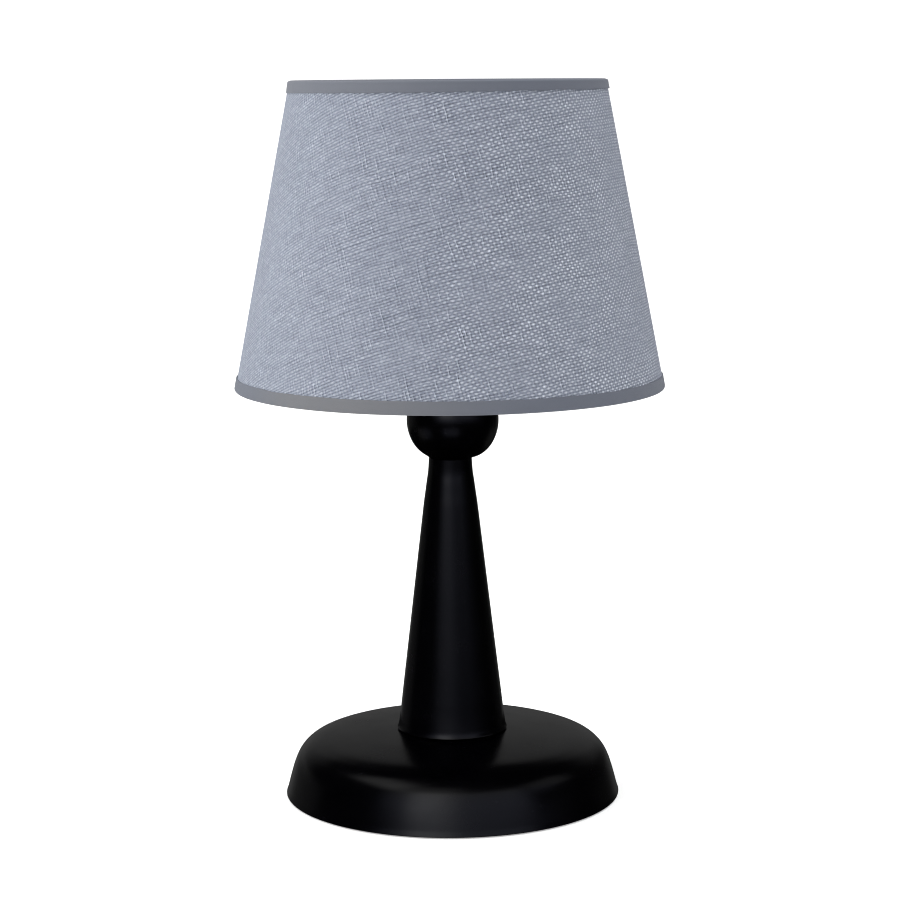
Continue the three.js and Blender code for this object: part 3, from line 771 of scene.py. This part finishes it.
    # painted shade: open gaps between warp threads are painted dark, deeper on the side towards the light, and single
    # warp threads show pale through the weft
    side_u = f.math("ABSOLUTE", fu)
    gap = f.remap(side_u, 0.30, 0.48, 0, 1, how="SMOOTHSTEP")
    opened = f.remap(stretch(f.math("FLOOR", f.math("ADD", us, 0.5)), v, 900.0, 0.16), 0.44, 0.64, 0, 1)
    gap = f.math("MULTIPLY", gap, f.math("MULTIPLY", opened, f.float_mix(warp_light_bias, 0.14, 0.36)))
    # painted shade: and between wefts, where the cloth opens for a few threads, the gaps are painted dark
    side_v = f.math("ABSOLUTE", fv)
    slit = f.remap(side_v, 0.26, 0.46, 0, 1, how="SMOOTHSTEP")
    slit = f.math("MULTIPLY", slit, f.remap(stretch(f.math("FLOOR", f.math("ADD", vs, 0.5)), u, 1700.0, 0.14), 0.50, 0.66, 0.0, 0.42))
    gap = f.math("MAXIMUM", gap, slit)
    # long streaks along the weft: a painted shadow line with a painted highlight beside it, mostly on the side towards
    # the light
    light_facing = f.remap(turn, -0.70, 0.40, 1.0, 0.30, how="SMOOTHSTEP")
    streak = f.math("MULTIPLY", light_facing, f.remap(stretch(f.math("FLOOR", f.math("ADD", vs, 0.5)), u, 2300.0, 0.045), 0.52, 0.64, 0, 1))
    gap = f.math("MAXIMUM", gap, f.math("MULTIPLY", f.math("MULTIPLY", streak, f.remap(side_v, 0.28, 0.45, 0, 1)), 0.38))
    streak_highlight = f.math("MULTIPLY", f.remap(fv, -0.36, -0.24, 0, 1), f.remap(fv, -0.20, -0.06, 1, 0))
    lit = f.math("ADD", lit, f.math("MULTIPLY", f.math("MULTIPLY", streak, streak_highlight), 0.24))
    # single warp threads that lie on top, painted pale as a highlight, with a painted shadow on one side
    pale = f.remap(side_u, 0.06, 0.17, 1, 0)
    shadow = f.math("MULTIPLY", f.remap(fu, 0.15, 0.24, 0, 1), f.remap(fu, 0.33, 0.44, 1, 0))
    pale = f.math("SUBTRACT", pale, f.math("MULTIPLY", shadow, 0.75))
    single = f.math("ADD", stretch(i, v, 1300.0, 0.105), f.math("MULTIPLY", light_facing, 0.062))
    pale = f.math("MULTIPLY", pale, f.remap(single, 0.575, 0.70, 0.0, 0.42))
    lit = f.math("ADD", f.math("MULTIPLY", lit, f.math("SUBTRACT", 1.0, gap)), f.math("MULTIPLY", pale, pressed))
    # less contrast where it is pressed; round the shade the contrast is also painted by the light's direction, largest
    # a little right of the front, where the light grazes, and smaller towards both sides
    light_graze = f.math("COSINE", f.math("MULTIPLY", f.math("SUBTRACT", turn, 0.15), 1.7))
    depth = f.math("MULTIPLY", f.math("ADD", f.math("MULTIPLY", f.math("MAXIMUM", light_graze, 0.0), 0.18), 0.54), f.remap(pressed, 0.62, 1.28, 0.84, 1.1))
    depth = f.math("MULTIPLY", depth, f.math("MULTIPLY", f.remap(turn, 0.7, 1.2, 1.0, 0.68), f.remap(turn, -1.2, -0.8, 0.55, 1.0)))
    depth = f.float_mix(behind, depth, 0.75)
    lit = f.math("ADD", f.math("MULTIPLY", f.math("SUBTRACT", lit, 0.82), depth), 0.82)
    value = f.math("MULTIPLY", lit, f.remap(fibres, 0.3, 0.7, 0.82, 1.18))
    patch = f.noise(cut, 0.018, 3.0, 0.6)
    value = f.math("MULTIPLY", value, f.remap(patch, 0.3, 0.7, 0.97, 1.03))
    # painted shade: the cloth is painted a little darker towards both sides of the shade
    value = f.math("MULTIPLY", value, f.math("MULTIPLY", f.remap(turn, -1.25, -0.80, 0.955, 1.0), f.remap(turn, 0.80, 1.15, 1.0, 0.965)))
    # uneven over a few threads; this and the fine grain below are painted stronger on the side towards the light
    broad = f.remap(f.noise(far, 0.30, 2.0, 0.6), 0.3, 0.7, -0.05, 0.05, False)
    value = f.math("MULTIPLY", value, f.math("ADD", 1.0, f.math("MULTIPLY", broad, f.remap(turn, -1.1, -0.6, 2.2, 1.0))))
    grain = f.remap(f.noise(cut, 0.8, 3.0, 0.75), 0.3, 0.7, -0.10, 0.10, False)
    value = f.math("MULTIPLY", value, f.math("ADD", 1.0, f.math("MULTIPLY", grain, f.math("ADD", 0.85, f.math("MULTIPLY", light_facing, 0.5)))))
    # the shaded threads are bluer than the crests
    hue = f.mix(f.remap(value, 0.55, 1.25, 0, 1), (0.410, 0.454, 0.570), (0.431, 0.455, 0.514))
    f.set(
        Base_Color=f.tint(hue, value),
        Normal=f.bump(
            f.math("ADD", height, f.math("MULTIPLY", fibres, 0.10)),
            0.00034,
            1.0,
        ),
    )
    return f


WEAVE = weave_finish()

# ------------------------------------------------------------------ base, column and ball
side = through(
    [(78.2, 3.0), (76.95, 7.9), (75.55, 12.8), (74.3, 16.3), (72.75, 19.5), (70.6, 22.3), (67.6, 24.7), (63.8, 26.3), (58.9, 27.55), (44.0, 29.35), (27.0, BASE_TOP_Z)],
    8,
)
base_outline = (
    rounded(
        [
            (5.3, 23.5),
            (5.3, 17.0),
            (22.0, 17.0, 0.6),
            (22.0, 1.8, 0.4),
            (75.3, 1.8),
            (75.3, 0.5, 0.3),
            (79.1, 0.5, 0.25),
            (78.65, 1.6),
        ],
        5,
    )
    + side
    + [(12.1, BASE_TOP_Z), (12.1, 23.5)]
)
base = turned("base_block_turned", split_long(base_outline, 6.0), 224)


def cutter(name, r, y0, y1, z, n=64):
    pts = []
    for y in (y0, y1):
        for k in range(n):
            a = TAU * k / n
            pts.append((r * math.cos(a), y, z + r * math.sin(a)))
    faces = [(k, (k + 1) % n, n + (k + 1) % n, n + k) for k in range(n)]
    faces += [tuple(range(n)), tuple(range(2 * n - 1, n - 1, -1))]
    ob = make(name, pts, faces)
    return ob


for tool in (cutter("hole_tool", CORD_HOLE_R, 15, 90, CORD_Z), cutter("face_tool", SPOT_FACE_R, SPOT_FACE_Y, 90, CORD_Z)):
    m = base.modifiers.new(tool.name, "BOOLEAN")
    m.operation, m.solver, m.object = "DIFFERENCE", "EXACT", tool
bake_modifiers(base)
for tool in ("hole_tool", "face_tool"):
    bpy.data.objects.remove(bpy.data.objects[tool], do_unlink=True)
dress(base, LACQUER, body="root", replaces=("base_block",))

pad = turned(
    "felt_pad_cut",
    split_long(rounded([(0, 0), (PAD_R, 0, 0.35), (PAD_R, PAD_T, 0.3), (0, PAD_T)], 4), 2.5),
    220,
    shape=lambda r, z, a: (
        r + (0.12 * math.sin(23 * a) + 0.08 * math.sin(57 * a + 1)) * (r > 74),
        z,
    ),
)
dress(pad, FELT, body="root", replaces=("felt_pad",))

bush = turned(
    "cord_bush_moulded",
    rounded([(3.6, -14), (4.2, -14, 0.2), (4.6, -12.8), (4.6, 0), (6.2, 0), (6.2, 1.4, 0.7), (3.6, 1.4, 0.8)], 6),
    64,
)
moved(bush, rotate_x=-math.pi / 2, shift=(0, SPOT_FACE_Y + GAP, CORD_Z))
dress(bush, BLACK_PLASTIC, body="root", replaces=("cord_bush",))


def flattened(r):
    """How far the ball's underside, near the column, lies above a true sphere."""
    return 1.3 * min(max((18.5 - r) / 8.1, 0.0), 1.0) ** 1.3


def ball_z(r, way):
    return BALL_Z + way * math.sqrt(BALL_R**2 - r**2) + (flattened(r) if way < 0 else 0.0)


FOOT_Z = BASE_TOP_Z + 0.05
top_curve = through([(13.1, 135), (12.5, 139.9), (11.82, 144.7), (11.16, 149.5), (10.5, 154), (10.05, ball_z(10.05, -1) - 0.25)], 4)
column = turned(
    "column_turned",
    split_long(
        rounded([(5.3, 24), (11.8, 24, 0.6), (11.8, FOOT_Z), (26.05, FOOT_Z, 0.4)], 5)
        + through([(26.0, 31.3), (25.7, 31.9), (25.3, 33.2), (24.9, 35.8), (24.1, 42.0), (23.5, 47.2), (22.1, 59)], 4)[1:]
        + [(20.55, 72), (17.71, 96), (15.11, 118)]
        + top_curve
        + [(7.7, ball_z(7.7, -1) - 0.2), (5.3, ball_z(5.3, -1) - 0.2)],
        5.0,
    ),
    160,
)
dress(column, LACQUER, body="root", replaces=("column",))

low, high = -math.acos(5.3 / BALL_R), math.asin((BALL_TOP_Z - BALL_Z) / BALL_R)
arc = [
    (BALL_R * math.cos(a), BALL_Z + BALL_R * math.sin(a) + (flattened(BALL_R * math.cos(a)) if a < 0 else 0.0))
    for a in np.linspace(low, high, 56)
]
ball = turned("ball_neck_turned", split_long(arc + [(5.3, BALL_TOP_Z)], 4.0), 144)
for v in ball.data.vertices:  # its bore is a millimetre off its middle, as in the photograph
    v.co.x += 0.0012 * smooth((math.hypot(v.co.x, v.co.y) * 1000 - 8.5) / 5)
dress(ball, LACQUER, body="root", replaces=("ball_neck",))


# ------------------------------------------------------------------ lampholder
def thread(z, a, pitch):
    """Height of a right-hand rounded thread, from 0 to 1."""
    return 0.5 - 0.5 * math.cos(TAU * (z / pitch - a / TAU))


def ribs(a, count):
    return 0.5 + 0.5 * math.cos(count * a)


cap_outer = rounded(
    [
        (5.1, 196.5),
        (11.5, 196.5, 0.7),
        (11.5, 202.4, 1.0),
        (14.6, 205.6, 2.0),
        (17.3, 210.0, 3.0),
        (18.8, 214.6, 2.0),
        (19.0, 219.5, 0.3),
        (17.2, 219.5, 0.3),
        (17.2, 214.0, 1.0),
        (15.6, 210.4, 1.5),
        (12.6, 206.2, 1.0),
        (10.6, 204.6, 0.5),
        (5.1, 204.6),
    ],
    5,
)
holder_cap = turned(
    "holder_cap_moulded",
    split_long(cap_outer, 1.5),
    192,
    shape=lambda r, z, a: (
        r - 0.35 * ribs(a, 32) * smooth((z - 214.2) / 1.2) * smooth((219.2 - z) / 0.8) * (r > 18.3),
        z,
    ),
)
dress(holder_cap, BLACK_PLASTIC, body="root", replaces=("holder_cap",))

SKIRT_TOP_Z = 250.5


def skirt_shape(r, z, a):
    if r > 19.3 and 223.6 < z < 249.6:
        fade = smooth((z - 223.6) / 1.5) * smooth((249.6 - z) / 1.2)
        t = thread(z, a, 3.0)
        return r - 0.95 * fade * (1 - min(1.0, 1.6 * t)), z
    if r > 22.2 and z > 220.2:
        return r - 0.3 * ribs(a, 48), z
    return r, z


skirt = turned(
    "holder_skirt_moulded",
    split_long(
        rounded(
            [
                (15.4, 214.5),
                (16.9, 214.5, 0.3),
                (16.9, 219.8),
                (22.5, 219.8, 0.4),
                (22.5, 222.8, 0.4),
                (19.6, 222.8),
                (19.6, SKIRT_TOP_Z, 0.9),
                (15.5, SKIRT_TOP_Z, 0.6),
                (15.5, SKIRT_TOP_Z - 3.5),
                (17.4, SKIRT_TOP_Z - 5),
                (17.4, 221.0),
                (15.4, 221.0),
            ],
            4,
        ),
        0.42,
    ),
    144,
    shape=skirt_shape,
    sharp=50,
)
dress(skirt, BLACK_PLASTIC, body="root", replaces=("holder_skirt",))

collar = turned(
    "shade_collar_moulded",
    split_long(
        rounded(
            [
                (19.95, COLLAR_Z, 0.3),
                (26.6, COLLAR_Z, 0.5),
                (26.6, COLLAR_Z + 2.1, 0.7),
                (24.3, COLLAR_Z + 2.7, 0.9),
                (23.3, COLLAR_Z + 4.0, 0.8),
                (22.8, COLLAR_TOP_Z, 0.8),
                (19.95, COLLAR_TOP_Z, 0.5),
            ],
            5,
        ),
        1.0,
    ),
    240,
    shape=lambda r, z, a: (
        r - 0.55 * (ribs(a, 30) ** 2) * (r > 22.3) * smooth((z - COLLAR_Z - 2.9) / 1.0) * smooth((COLLAR_TOP_Z - 0.2 - z) / 0.8),
        z,
    ),
    sharp=50,
)
dress(collar, BLACK_PLASTIC, body="collar", replaces=("shade_collar",))

# ------------------------------------------------------------------ bulb
E27_PITCH = 3.6286


def cap_shape(r, z, a):
    if r > 12.85 and 232.6 < z < 250.6:
        fade = smooth((z - 233.2) / 1.6) * smooth((250.2 - z) / 1.6)
        return r - 1.0 * fade * thread(z, a, E27_PITCH), z
    return r, z


screw_cap = turned(
    "bulb_screw_cap_rolled",
    split_long(
        rounded(
            [
                (11.5, 231.6),
                (12.2, 231.6, 0.3),
                (13.2, 233.6, 0.6),
                (13.2, 251.5, 0.3),
                (12.7, 251.5),
                (12.7, 251.0),
                (11.9, 234.4),
                (11.5, 232.6),
            ],
            4,
        ),
        0.4,
    ),
    120,
    shape=cap_shape,
    sharp=60,
)
dress(screw_cap, NICKEL, body="bulb", replaces=("bulb_screw_cap",))

housing = turned(
    "bulb_housing_moulded",
    split_long(
        [(11.2, 240.5), (12.2, 240.5), (12.2, 251.6)]
        + through([(13.7, 251.75), (14.0, 253.6), (14.8, 256.4), (16.7, 261.8), (18.85, 268.3)], 8)
        + [(18.9, 268.75), (17.3, 268.75), (15.3, 262.4), (13.2, 256.2), (11.2, 252.2)],
        1.5,
    ),
    144,
)
dress(housing, WHITE_PLASTIC, body="bulb", replaces=("bulb_housing",))


def globe_arc(r, n):
    a0 = math.asin((269 - 282) / r)
    return [
        (r * math.cos(a), 282 + r * math.sin(a)) if k < n else (0.0, 282 + r)
        for k, a in enumerate(np.linspace(a0, math.pi / 2, n + 1))
    ]


globe = turned("bulb_diffuser_blown", globe_arc(22.5, 40) + globe_arc(21.3, 24)[::-1], 128)
dress(globe, OPAL, body="bulb", replaces=("bulb_diffuser",))

insulator = turned(
    "bulb_insulator_fused",
    through([(1.7, 228.95), (3.4, 228.55), (5.4, 228.7), (7.8, 229.6), (9.8, 231.0), (11.2, 232.7)], 5)
    + [(11.2, 234.0), (1.7, 234.0)],
    96,
)
dress(insulator, GLASS_BLACK, body="bulb_centre", replaces=("bulb_insulator",))
tip = turned(
    "bulb_tip_soldered",
    through([(0.0, 227.05), (1.6, 227.12), (3.2, 227.4), (4.3, 227.9), (4.65, 228.4)], 5)
    + [(3.0, 228.6), (1.4, 228.7), (1.4, 231.6), (0.0, 231.6)],
    64,
)
dress(tip, BRASS, body="bulb_centre", replaces=("bulb_tip",))


# ------------------------------------------------------------------ shade: wires
def wire_ring(name, which):
    n, sides = 288, 20
    verts, faces = [], []
    for i in range(n):
        a = TAU * i / n
        # a butt weld at the back
        d = abs((a + math.pi) % TAU - math.pi - math.pi)
        d = min(d, TAU - d) * RING_R[which]
        r = WIRE_R + 0.22 * math.exp(-((d / 1.6) ** 2))
        for k in range(sides):
            b = TAU * k / sides
            q = RING_R[which] + r * math.cos(b)
            verts.append((q * math.sin(a), -q * math.cos(a), WIRE_Z[which] + r * math.sin(b)))
    for i in range(n):
        for k in range(sides):
            i2, k2 = (i + 1) % n, (k + 1) % sides
            faces.append((i * sides + k, i2 * sides + k, i2 * sides + k2, i * sides + k2))
    return make(name, verts, faces, 60)


dress(wire_ring("top_wire_ring_welded", "top"), WIRE, body="shade", replaces=("top_wire_ring",))
dress(wire_ring("bottom_wire_ring_welded", "bottom"), WIRE, body="shade", replaces=("bottom_wire_ring",))

hub = turned(
    "shade_hub_pressed",
    split_long(
        rounded(
            [
                (HUB_BORE_R, HUB_Z, 0.5),
                (HUB_R, HUB_Z, 0.9),
                (HUB_R, HUB_Z + HUB_T, 0.9),
                (HUB_BORE_R, HUB_Z + HUB_T, 0.5),
            ],
            6,
        ),
        1.5,
    ),
    144,
)
dress(hub, WIRE, body="shade", replaces=("shade_hub",))

SPOKE_END = RING_R["bottom"] - 0.5
SPOKE_Z = HUB_Z + HUB_T / 2
for index in range(3):
    path = through(
        [
            (HUB_R - 0.6, SPOKE_Z),
            (HUB_R + 4.2, SPOKE_Z - 0.2),
            (HUB_R + 9, SPOKE_Z - 1.7),
            (SPOKE_END - 10, WIRE_Z["bottom"] + 3.2),
            (SPOKE_END - 5, WIRE_Z["bottom"] + 1.25),
            (SPOKE_END, WIRE_Z["bottom"] + 0.3),
        ],
        12,
    )
    a = math.pi / 2 + index * TAU / 3
    points = [(r * math.cos(a), r * math.sin(a), z) for r, z in path]
    spoke = swept(
        f"spoke_{index + 1}_bent",
        points,
        lambda t: WIRE_R + 0.35 * math.exp(-((t / 0.02) ** 2)) + 0.3 * math.exp(-(((1 - t) / 0.02) ** 2)),
    )
    dress(spoke, WIRE, body="shade", replaces=(f"spoke_{index + 1}",))


# ------------------------------------------------------------------ shade: liner, fabric and edge tape
SLANT = math.hypot(SHADE_BOTTOM_R - SHADE_TOP_R, SHADE_TOP_Z - SHADE_BOTTOM_Z)
SIN_CONE = (SHADE_BOTTOM_R - SHADE_TOP_R) / SLANT
COS_CONE = (SHADE_TOP_Z - SHADE_BOTTOM_Z) / SLANT
LAP = math.radians(2.3)  # half of the overlap at the seam, at the back


def panel(name, z0, z1, out, thick, n_round, n_up, lap, rise):
    """A thin conical panel whose two ends overlap at the back. out is how far its outer face lies inside the fabric's. Returns the object with a "cut" attribute for the flat panel."""
    verts, cut, turn, faces = [], [], [], []
    angles = np.linspace(-math.pi - lap, math.pi + lap, n_round + 1)
    heights = np.linspace(z0, z1, n_up + 1)
    for layer in (0, 1):
        for a in angles:
            # the far end lies over the near one
            lift = rise * smooth((a - (math.pi - 4 * lap)) / (2.4 * lap)) if lap else 0
            for z in heights:
                r = face_r(z) - out - layer * thick + lift
                verts.append((r * math.sin(a), -r * math.cos(a), z))
                s = face_r(z) / SIN_CONE
                psi = a * SIN_CONE
                x, y = s * math.sin(psi), -s * math.cos(psi)
                turn.append(a)
                cut.append((x * math.cos(GRAIN) + y * math.sin(GRAIN), -x * math.sin(GRAIN) + y * math.cos(GRAIN), 0.0))
    rows, cols = n_round + 1, n_up + 1
    at = lambda layer, i, j: layer * rows * cols + i * cols + j
    for i in range(n_round):
        for j in range(n_up):
            faces.append((at(0, i, j), at(0, i + 1, j), at(0, i + 1, j + 1), at(0, i, j + 1)))
            faces.append((at(1, i, j), at(1, i, j + 1), at(1, i + 1, j + 1), at(1, i + 1, j)))
        for j in (0, n_up):
            faces.append((at(0, i, j), at(1, i, j), at(1, i + 1, j), at(0, i + 1, j)))
    for i in (0, n_round):
        for j in range(n_up):
            faces.append((at(0, i, j), at(0, i, j + 1), at(1, i, j + 1), at(1, i, j)))
    mesh = bpy.data.meshes.new(name)
    mesh.from_pydata((np.array(verts) * MM).tolist(), [], faces)
    attribute = mesh.attributes.new("cut", "FLOAT_VECTOR", "POINT")
    attribute.data.foreach_set("vector", np.array(cut, np.float32).ravel())
    attribute = mesh.attributes.new("turn", "FLOAT", "POINT")
    attribute.data.foreach_set("value", np.array(turn, np.float32))
    bm = bmesh.new()
    bm.from_mesh(mesh)
    bmesh.ops.recalc_face_normals(bm, faces=bm.faces)
    bm.to_mesh(mesh)
    bm.free()
    mesh.shade_smooth()
    mesh.set_sharp_from_angle(angle=math.radians(40))
    ob = bpy.data.objects.new(name, mesh)
    scene.collection.objects.link(ob)
    return ob


liner = panel("shade_liner_rolled", SHADE_BOTTOM_Z, SHADE_TOP_Z, FABRIC_T + 0.05, LINER_T, 300, 6, 0.0, 0.0)
dress(liner, LINER, body="shade", replaces=("shade_liner",))
fabric = panel("shade_fabric_woven", SHADE_BOTTOM_Z, SHADE_TOP_Z, 0.0, FABRIC_T, 480, 48, LAP, 0.55)
dress(fabric, WEAVE, body="shade", replaces=("shade_fabric",))


def tape(name, streak_highlight, way, which, seed):
    """The folded tape over one edge: outside on the fabric, across the edge and inside the wire."""
    rng = np.random.default_rng(seed)
    waves = [(rng.integers(3, 40), rng.uniform(0, TAU), rng.uniform(0.01, 0.05)) for _ in range(14)]
    inner0 = RING_R[which] - WIRE_R - 0.25
    inner1 = inner0 - TRIM_T
    web0, web1 = streak_highlight + way * 0.12, streak_highlight + way * (0.12 + TRIM_T)
    height = TRIM_HEIGHT[which]
    lap = streak_highlight - way * height
    lap_in = streak_highlight - way * 4.9
    off = TRIM_GAP
    outline = rounded(
        [
            (face_r(lap) + off - 0.05, lap),
            (face_r(lap) + off + TRIM_T * 0.9, lap, 0.28),
            (face_r(streak_highlight) + off + TRIM_T, streak_highlight + way * 0.4, 0.9),
            (face_r(streak_highlight) - 0.9, web1 + way * 0.25, 1.0),
            (inner1, web1 - way * 0.1, 0.6),
            (inner1, lap_in, 0.2),
            (inner0, lap_in),
            (inner0, web0),
            (face_r(streak_highlight) + off - 0.05, web0),
        ],
        5,
    )

    def wavy(r, z, a):
        near = smooth((abs(z - streak_highlight) - height + 2.2) / 2.0)
        d = sum(amp * math.sin(k * a + ph) for k, ph, amp in waves)
        d2 = sum(amp * math.sin((k + 3) * a + 2 * ph) for k, ph, amp in waves)
        out = 0.55 if r > face_r(z) - 0.4 else 0.0
        back = min(abs(a - math.pi), TAU - abs(a - math.pi))
        over = out * (1 - smooth((back - LAP * 1.0) / (LAP * 1.5)))
        lean = 0.55 * math.sin(a) if which == "top" else 0.0
        return r + over + 0.5 * d2 * (1 if r > face_r(z) else 0), z - way * near * (d * 0.9 - lean * out / 0.55)

    return turned(name, split_long(outline, 1.6), 420, shape=wavy, sharp=50)


for which, way, streak_highlight, seed in (("top", 1, SHADE_TOP_Z, 3), ("bottom", -1, SHADE_BOTTOM_Z, 8)):
    strip = tape(f"{which}_edge_tape_folded", streak_highlight, way, which, seed)
    dress(strip, TAPE, body="shade", replaces=(f"{which}_edge_tape",))

for ob in bpy.data.objects:
    if not ob.name.startswith(("shade_", "top_", "bottom_", "spoke_", "bulb_", "holder_", "terminal_", "contact_")) or ob.type != "MESH":
        continue
    ob.visible_glossy = False  # the lamp is off: no pale reflection of the shade's inside in the lacquer

# ------------------------------------------------------------------ carried-over fittings
for node, finish in {
    "threaded_tube": ZINC,
    "clamp_washer": ZINC,
    "lock_washer": ZINC,
    "clamp_nut": ZINC,
    "lock_screw": BLACK_PLASTIC,
    "contact_block": STEATITE,
    "terminal_screw_live": BRASS,
    "terminal_screw_neutral": BRASS,
    "shell_contact": BRASS,
    "centre_contact": BRASS,
    "led_board": LED_BOARD,
}.items():
    ob = frame["nodes"][node]
    ob.data.materials.clear()
    ob.data.materials.append(finish.material)
